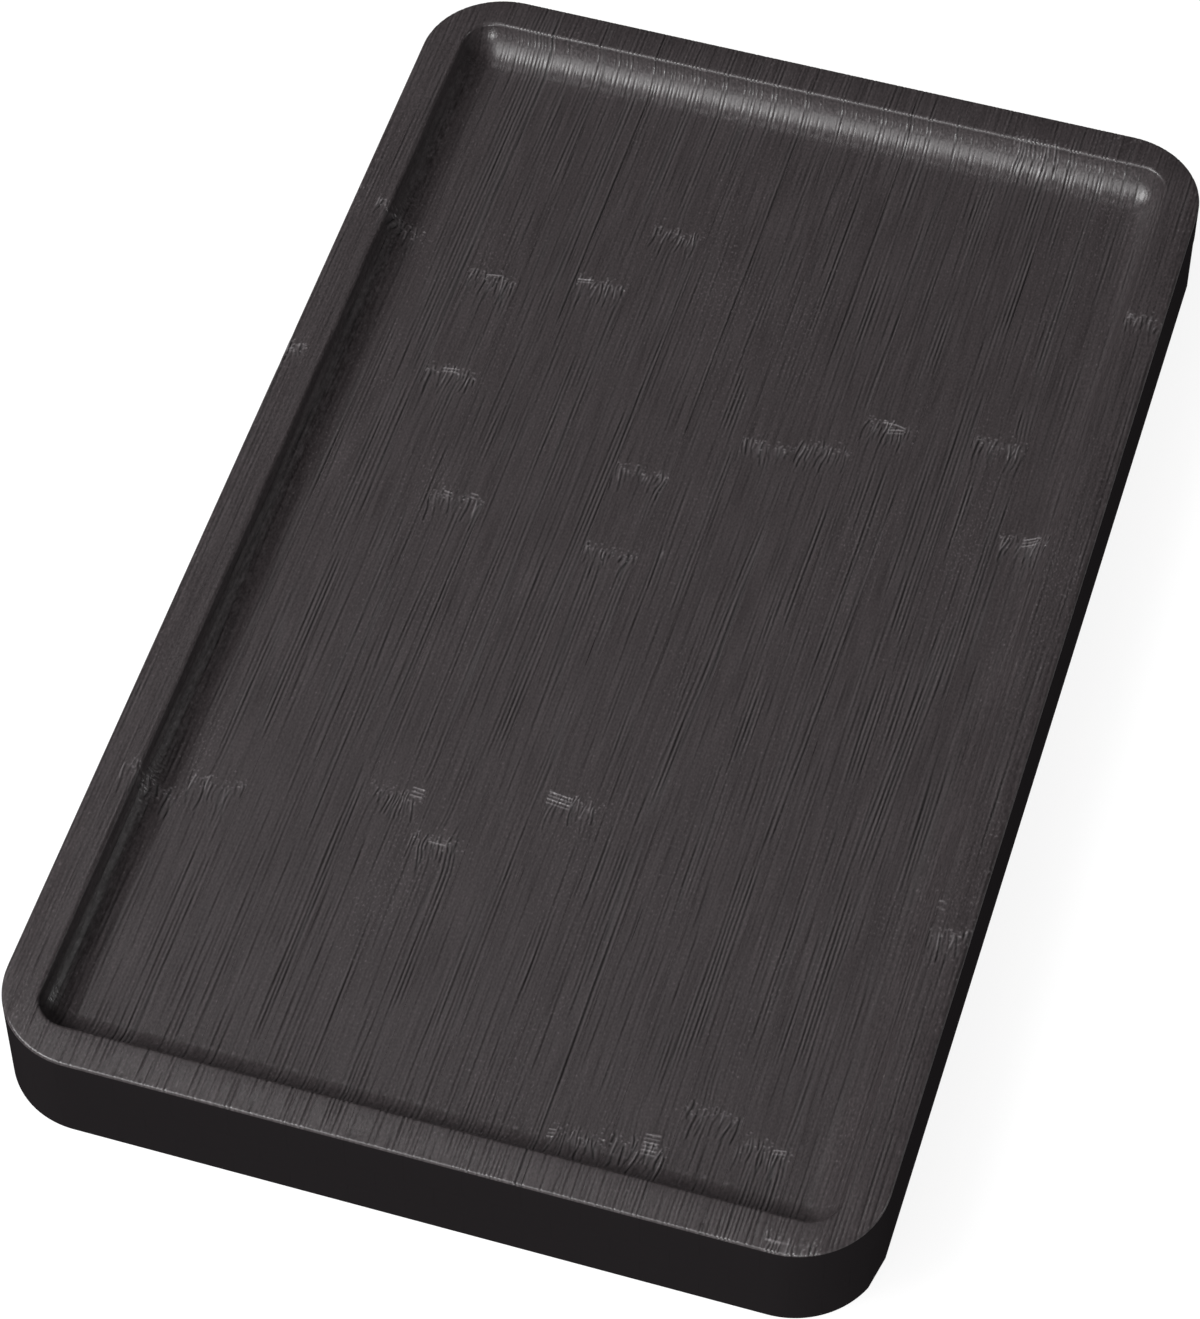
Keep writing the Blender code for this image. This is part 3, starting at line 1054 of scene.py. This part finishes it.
def add_floor():
    """Plain floor: white to the camera but for the tray's shadow, and grey to the tray."""
    settings = stage_settings()
    half = settings.floor_size / 2
    corners = ((-half, -half), (half, -half), (half, half), (-half, half))
    mesh = bpy.data.meshes.new("floor")
    mesh.from_pydata([(x, y, -settings.floor_drop) for x, y in corners], [], [(0, 1, 2, 3)])
    floor = bpy.data.objects.new("floor", mesh)
    bpy.context.collection.objects.link(floor)
    material = bpy.data.materials.new("floor")
    material.use_nodes = True
    tree = material.node_tree
    tree.nodes.clear()
    output = tree.nodes.new("ShaderNodeOutputMaterial")
    mix = tree.nodes.new("ShaderNodeMixShader")
    seen = tree.nodes.new("ShaderNodeAddShader")
    white = tree.nodes.new("ShaderNodeEmission")
    shaded = tree.nodes.new("ShaderNodeBsdfDiffuse")
    under = tree.nodes.new("ShaderNodeEmission")
    path = tree.nodes.new("ShaderNodeLightPath")
    shade = settings.floor_shade
    white.inputs["Strength"].default_value = settings.floor_glow
    shaded.inputs["Color"].default_value = (shade, shade, shade, 1)
    dimming = tree.nodes.new("ShaderNodeMath")
    dimming.operation = "MULTIPLY_ADD"
    dimming.inputs[1].default_value = settings.floor_mirror - settings.floor_light
    dimming.inputs[2].default_value = settings.floor_light
    tree.links.new(path.outputs["Is Glossy Ray"], dimming.inputs[0])
    tree.links.new(dimming.outputs[0], under.inputs["Strength"])
    tree.links.new(white.outputs[0], seen.inputs[0])
    tree.links.new(shaded.outputs[0], seen.inputs[1])
    tree.links.new(path.outputs["Is Camera Ray"], mix.inputs["Fac"])
    tree.links.new(under.outputs[0], mix.inputs[1])
    tree.links.new(seen.outputs[0], mix.inputs[2])
    tree.links.new(mix.outputs[0], output.inputs["Surface"])
    mesh.materials.append(material)


def add_lamp(name, height, turn, spread, radiance):
    """Round soft lamp that looks at the tray.

    Its radius is the distance times the tangent of the spread, and its power is the radiance
    times pi times its area.
    """
    settings = stage_settings()
    flat = math.cos(math.radians(height))
    towards = Vector(
        (
            -math.sin(math.radians(turn)) * flat,
            -math.cos(math.radians(turn)) * flat,
            math.sin(math.radians(height)),
        )
    )
    distance = settings.lamp_distance
    radius = distance * math.tan(math.radians(spread))
    data = bpy.data.lights.new(name, "AREA")
    data.shape = "DISK"
    data.size = 2 * radius
    data.energy = settings.lamp_level * radiance * math.pi * math.pi * radius**2
    lamp = bpy.data.objects.new(name, data)
    middle = Vector((0, 0, WELL_FLOOR))
    lamp.matrix_world = look_matrix(middle + towards * distance, -towards, 0)
    bpy.context.collection.objects.link(lamp)


def look_matrix(place, forward, roll):
    """Matrix of a camera or lamp at a place that looks forward, rolled about that direction."""
    ahead = forward.normalized()
    right = ahead.cross(Vector((0, 0, 1))).normalized()
    above = right.cross(ahead)
    turned_right = right * math.cos(roll) + above * math.sin(roll)
    turned_above = turned_right.cross(ahead)
    axes = Matrix((turned_right, turned_above, -ahead)).transposed().to_4x4()
    return Matrix.Translation(place) @ axes


def add_camera():
    """Camera at the photograph's place: looks down on the tray from the front right."""
    settings = stage_settings()
    data = bpy.data.cameras.new("camera")
    data.lens = settings.lens
    data.sensor_fit = "VERTICAL"
    data.sensor_height = settings.sensor
    data.clip_start = 0.01
    camera = bpy.data.objects.new("camera", data)
    flat = math.cos(settings.elevation)
    back = Vector(
        (
            math.sin(settings.azimuth) * flat,
            -math.cos(settings.azimuth) * flat,
            math.sin(settings.elevation),
        )
    )
    target = Vector((settings.target_across, settings.target_along, settings.target_height))
    camera.matrix_world = look_matrix(target + back * settings.distance, -back, settings.roll)
    bpy.context.collection.objects.link(camera)
    bpy.context.scene.camera = camera


# Settings, operators and panel


class BambooTraySizes(bpy.types.PropertyGroup):
    """Sizes of the milled shape"""

    rim_width: bpy.props.FloatProperty(
        name="Rim width",
        description="From the outer wall to where the well's edge turns down",
        default=0.0104,
        unit="LENGTH",
    )
    rim_crown: bpy.props.FloatProperty(
        name="Rim crown",
        description="How far the rim falls towards its outer edge",
        default=0.0002,
        unit="LENGTH",
    )
    wall_turn: bpy.props.FloatProperty(
        name="Wall turn",
        description="How steep the cove stands at its top",
        default=math.radians(82),
        subtype="ANGLE",
    )
    upright: bpy.props.FloatProperty(
        name="Upright",
        description="Height between the cove and the well's edge",
        default=0.0003,
        precision=5,
        unit="LENGTH",
    )
    rim_tilt: bpy.props.FloatProperty(
        name="Rim tilt",
        description="How far the outer part of the rim leans outwards in the light",
        default=math.radians(7),
        subtype="ANGLE",
    )
    rounded_from: bpy.props.FloatProperty(
        name="Rounded from",
        description="Where the rim's tilt starts to fade, from the outline in",
        default=0.0010,
        unit="LENGTH",
    )
    rounded_to: bpy.props.FloatProperty(
        name="Rounded to",
        description="Where the rim's tilt ends",
        default=0.0105,
        unit="LENGTH",
    )
    well_corner: bpy.props.FloatProperty(
        name="Well corner",
        description="Corner radius of the well at its edge",
        default=0.0100,
        unit="LENGTH",
    )
    floor_corner: bpy.props.FloatProperty(
        name="Floor corner",
        description="Corner radius of the flat floor, at the cove's foot",
        default=0.0005,
        unit="LENGTH",
    )
    corner_radius: bpy.props.FloatProperty(
        name="Corner radius",
        description="Radius of the tray's outer corners",
        default=0.0250,
        unit="LENGTH",
    )
    well_ease: bpy.props.FloatProperty(
        name="Well ease",
        description="Rounding of the well's edge",
        default=0.0010,
        precision=5,
        unit="LENGTH",
    )
    outer_ease: bpy.props.FloatProperty(
        name="Outer ease",
        description="Rounding of the rim's outer edge",
        default=0.0007,
        precision=5,
        unit="LENGTH",
    )
    underside_ease: bpy.props.FloatProperty(
        name="Underside ease",
        description="Rounding of the wall's foot",
        default=0.0002,
        unit="LENGTH",
    )
    seam_gap: bpy.props.FloatProperty(
        name="Seam gap",
        description="Hair left between glued strips",
        default=0.00002,
        precision=5,
        unit="LENGTH",
    )


class BambooTrayFinish(bpy.types.PropertyGroup):
    """Stain, gloss and grain"""

    stain: bpy.props.FloatVectorProperty(
        name="Stain",
        description="Colour of the brushed top",
        default=(0.0383, 0.0326, 0.0340),
        subtype="COLOR",
        min=0,
        max=1,
    )
    # Grey that ridges, burrs and specks are lightened towards: partly worn stain, partly a painted
    # highlight.
    wear_and_highlight_grey: bpy.props.FloatVectorProperty(
        name="Wear and highlight grey",
        description="Colour that shows where the stain is worn on a ridge",
        default=(0.036, 0.034, 0.035),
        subtype="COLOR",
        min=0,
        max=1,
    )
    wall_stain: bpy.props.FloatVectorProperty(
        name="Wall lacquer",
        description="Colour of the outer wall and underside",
        default=(0.0092, 0.0081, 0.0086),
        subtype="COLOR",
        min=0,
        max=1,
    )
    top_roughness: bpy.props.FloatProperty(
        name="Top roughness", description="Roughness of the brushed top", default=0.33
    )
    wall_roughness: bpy.props.FloatProperty(
        name="Wall roughness", description="Roughness of the wall's lacquer", default=0.4
    )
    top_gloss: bpy.props.FloatProperty(
        name="Top gloss", description="Specular level of the brushed top", default=0.5
    )
    wall_gloss: bpy.props.FloatProperty(
        name="Wall gloss", description="Specular level of the wall", default=0.0
    )
    gloss_swing: bpy.props.FloatProperty(
        name="Gloss swing", description="How much the fibres vary the roughness", default=0.15
    )
    fibre_swing: bpy.props.FloatProperty(
        name="Fibre swing", description="How much the fibres vary the stain", default=0.35
    )
    pore_swing: bpy.props.FloatProperty(
        name="Pore swing", description="How much the pores vary the stain", default=0.45
    )
    cloud_swing: bpy.props.FloatProperty(
        name="Cloud swing", description="How much the stain varies in patches", default=0.02
    )
    speck_from: bpy.props.FloatProperty(
        name="Specks from", description="Level of the fine noise above which specks show", default=1.0
    )
    speck_light: bpy.props.FloatProperty(
        name="Speck lightness", description="How much lighter specks are", default=6.0
    )
    tone_spread: bpy.props.FloatProperty(
        name="Tone spread", description="How much the strips differ in tone", default=0.015
    )
    furrow_dark: bpy.props.FloatProperty(
        name="Furrow darkness", description="How much darker a furrow is", default=0.68
    )
    burr_share: bpy.props.FloatProperty(
        name="Burr share", description="Height of a furrow's burrs against its depth", default=0.42
    )
    burr_reach: bpy.props.FloatProperty(
        name="Burr reach",
        description="From a furrow's line to the top of its burr",
        default=0.00065,
        precision=5,
        unit="LENGTH",
    )
    # How far ridges are lightened towards that grey: partly wear, partly painted highlight.
    ridge_light: bpy.props.FloatProperty(
        name="Ridge lightness", description="How much lighter a ridge is", default=1.0
    )
    furrow_pitch: bpy.props.FloatProperty(
        name="Furrow pitch",
        description="From one furrow to the next",
        default=0.00115,
        precision=5,
        unit="LENGTH",
    )
    furrow_width: bpy.props.FloatProperty(
        name="Furrow width",
        description="Half width of a furrow",
        default=0.00021,
        precision=5,
        unit="LENGTH",
    )
    furrow_depth: bpy.props.FloatProperty(
        name="Furrow depth",
        description="Depth of a strong furrow",
        default=0.00014,
        precision=5,
        unit="LENGTH",
    )
    ridge_height: bpy.props.FloatProperty(
        name="Ridge height",
        description="Height of a ridge or spot",
        default=0.00006,
        precision=5,
        unit="LENGTH",
    )
    fibre_relief: bpy.props.FloatProperty(
        name="Fibre relief",
        description="Depth of the finest brushing",
        default=0.00004,
        precision=5,
        unit="LENGTH",
    )
    faint_strength: bpy.props.FloatProperty(
        name="Faint strength", description="Strength of the weak furrows", default=0.95
    )
    mark_strength: bpy.props.FloatProperty(
        name="Mark strength", description="Strength of the node marks", default=2.6
    )
    plain_below: bpy.props.FloatProperty(
        name="Plain below",
        description="Surfaces that face up by less than this share carry no relief",
        default=0.05,
    )
    stray_spots: bpy.props.IntProperty(
        name="Stray spots", description="Lone raised spots on each strip", default=3
    )
    cove_roughness: bpy.props.FloatProperty(
        name="Cove roughness",
        description="How far uneven fibres stand out of the left cove, in ridge heights",
        default=1.0,
    )
    seed: bpy.props.IntProperty(name="Seed", description="Start of the grain's draws", default=40)


class BambooTrayStage(bpy.types.PropertyGroup):
    """Lights, floor and camera"""

    lamp_level: bpy.props.FloatProperty(
        name="Lamp level", description="Scale on the radiance of all lamps", default=1.0
    )
    lamp_distance: bpy.props.FloatProperty(
        name="Lamp distance", description="From the tray to each lamp", default=4.8, unit="LENGTH"
    )
    room_light: bpy.props.FloatProperty(
        name="Room light", description="Strength of the world's light", default=0.0
    )
    floor_light: bpy.props.FloatProperty(
        name="Floor light", description="How brightly the floor lights the tray", default=1.4
    )
    floor_mirror: bpy.props.FloatProperty(
        name="Floor mirror", description="How bright the floor is in a reflection", default=0.15
    )
    floor_glow: bpy.props.FloatProperty(
        name="Floor glow", description="White of the floor in the tray's shadow", default=0.90
    )
    floor_shade: bpy.props.FloatProperty(
        name="Floor shade", description="Grey that the light adds to the floor", default=0.15
    )
    floor_size: bpy.props.FloatProperty(
        name="Floor size", description="Side of the floor", default=12.0, unit="LENGTH"
    )
    floor_drop: bpy.props.FloatProperty(
        name="Floor drop",
        description="From the tray's underside to the floor",
        default=0.0001,
        precision=5,
        unit="LENGTH",
    )
    lens: bpy.props.FloatProperty(
        name="Lens", description="Focal length", default=133.393, unit="CAMERA"
    )
    sensor: bpy.props.FloatProperty(
        name="Sensor", description="Height of the sensor", default=36.0, unit="CAMERA"
    )
    distance: bpy.props.FloatProperty(
        name="Distance", description="From the camera to its target", default=1.34927, unit="LENGTH"
    )
    azimuth: bpy.props.FloatProperty(
        name="Azimuth",
        description="How far the camera stands round to the right",
        default=math.radians(17.1907),
        subtype="ANGLE",
    )
    elevation: bpy.props.FloatProperty(
        name="Elevation",
        description="How far the camera stands above the horizon",
        default=math.radians(53.2502),
        subtype="ANGLE",
    )
    roll: bpy.props.FloatProperty(
        name="Roll",
        description="Turn of the picture",
        default=math.radians(-0.1992),
        subtype="ANGLE",
    )
    target_across: bpy.props.FloatProperty(
        name="Target across", description="Where the camera looks", default=-0.00063, unit="LENGTH"
    )
    target_along: bpy.props.FloatProperty(
        name="Target along", description="Where the camera looks", default=-0.03308, unit="LENGTH"
    )
    target_height: bpy.props.FloatProperty(
        name="Target height", description="Where the camera looks", default=0.0315, unit="LENGTH"
    )


class BAMBOO_TRAY_OT_upper_strips(bpy.types.Operator):
    """Make the upper strips, which carry the rim and the well"""

    bl_idname = "bamboo_tray.upper_strips"
    bl_label = "Upper strips"

    def execute(self, context):
        make_upper_strips()
        return {"FINISHED"}


class BAMBOO_TRAY_OT_core_strips(bpy.types.Operator):
    """Make the core strips, half a strip aside from those above"""

    bl_idname = "bamboo_tray.core_strips"
    bl_label = "Core strips"

    def execute(self, context):
        make_lower_strips("core")
        return {"FINISHED"}


class BAMBOO_TRAY_OT_base_strips(bpy.types.Operator):
    """Make the base strips, which the tray stands on"""

    bl_idname = "bamboo_tray.base_strips"
    bl_label = "Base strips"

    def execute(self, context):
        make_lower_strips("base")
        return {"FINISHED"}


class BAMBOO_TRAY_OT_stage(bpy.types.Operator):
    """Make the floor, the lights and the camera"""

    bl_idname = "bamboo_tray.stage"
    bl_label = "Stage"

    def execute(self, context):
        context.scene.view_settings.view_transform = "Standard"
        set_world()
        add_floor()
        for lamp in LAMPS:
            add_lamp(*lamp)
        add_camera()
        return {"FINISHED"}


class BAMBOO_TRAY_PT_sidebar(bpy.types.Panel):
    """Sidebar panel with the tray's steps and settings"""

    bl_idname = "BAMBOO_TRAY_PT_sidebar"
    bl_label = "Bamboo tray"
    bl_space_type = "VIEW_3D"
    bl_region_type = "UI"
    bl_category = "Tray"

    def draw(self, context):
        for step in STEPS:
            self.layout.operator(step.bl_idname)
        for group in (sizes(), finish(), stage_settings()):
            box = self.layout.box()
            for name in group.bl_rna.properties.keys():
                if name not in ("rna_type", "name"):
                    box.prop(group, name)


STEPS = (
    BAMBOO_TRAY_OT_upper_strips,
    BAMBOO_TRAY_OT_core_strips,
    BAMBOO_TRAY_OT_base_strips,
    BAMBOO_TRAY_OT_stage,
)
GROUPS = (BambooTraySizes, BambooTrayFinish, BambooTrayStage)


def register():
    """Register the settings, the operators and the panel."""
    for group in GROUPS + STEPS + (BAMBOO_TRAY_PT_sidebar,):
        bpy.utils.register_class(group)
    scene = bpy.types.Scene
    scene.bamboo_tray_sizes = bpy.props.PointerProperty(type=BambooTraySizes)
    scene.bamboo_tray_finish = bpy.props.PointerProperty(type=BambooTrayFinish)
    scene.bamboo_tray_stage = bpy.props.PointerProperty(type=BambooTrayStage)


def unregister():
    """Take the settings, the operators and the panel away again."""
    scene = bpy.types.Scene
    del scene.bamboo_tray_sizes
    del scene.bamboo_tray_finish
    del scene.bamboo_tray_stage
    for group in reversed(GROUPS + STEPS + (BAMBOO_TRAY_PT_sidebar,)):
        bpy.utils.unregister_class(group)


def main():
    register()
    bpy.ops.bamboo_tray.upper_strips()
    bpy.ops.bamboo_tray.core_strips()
    bpy.ops.bamboo_tray.base_strips()
    bpy.ops.bamboo_tray.stage()


if __name__ == "__main__":
    main()
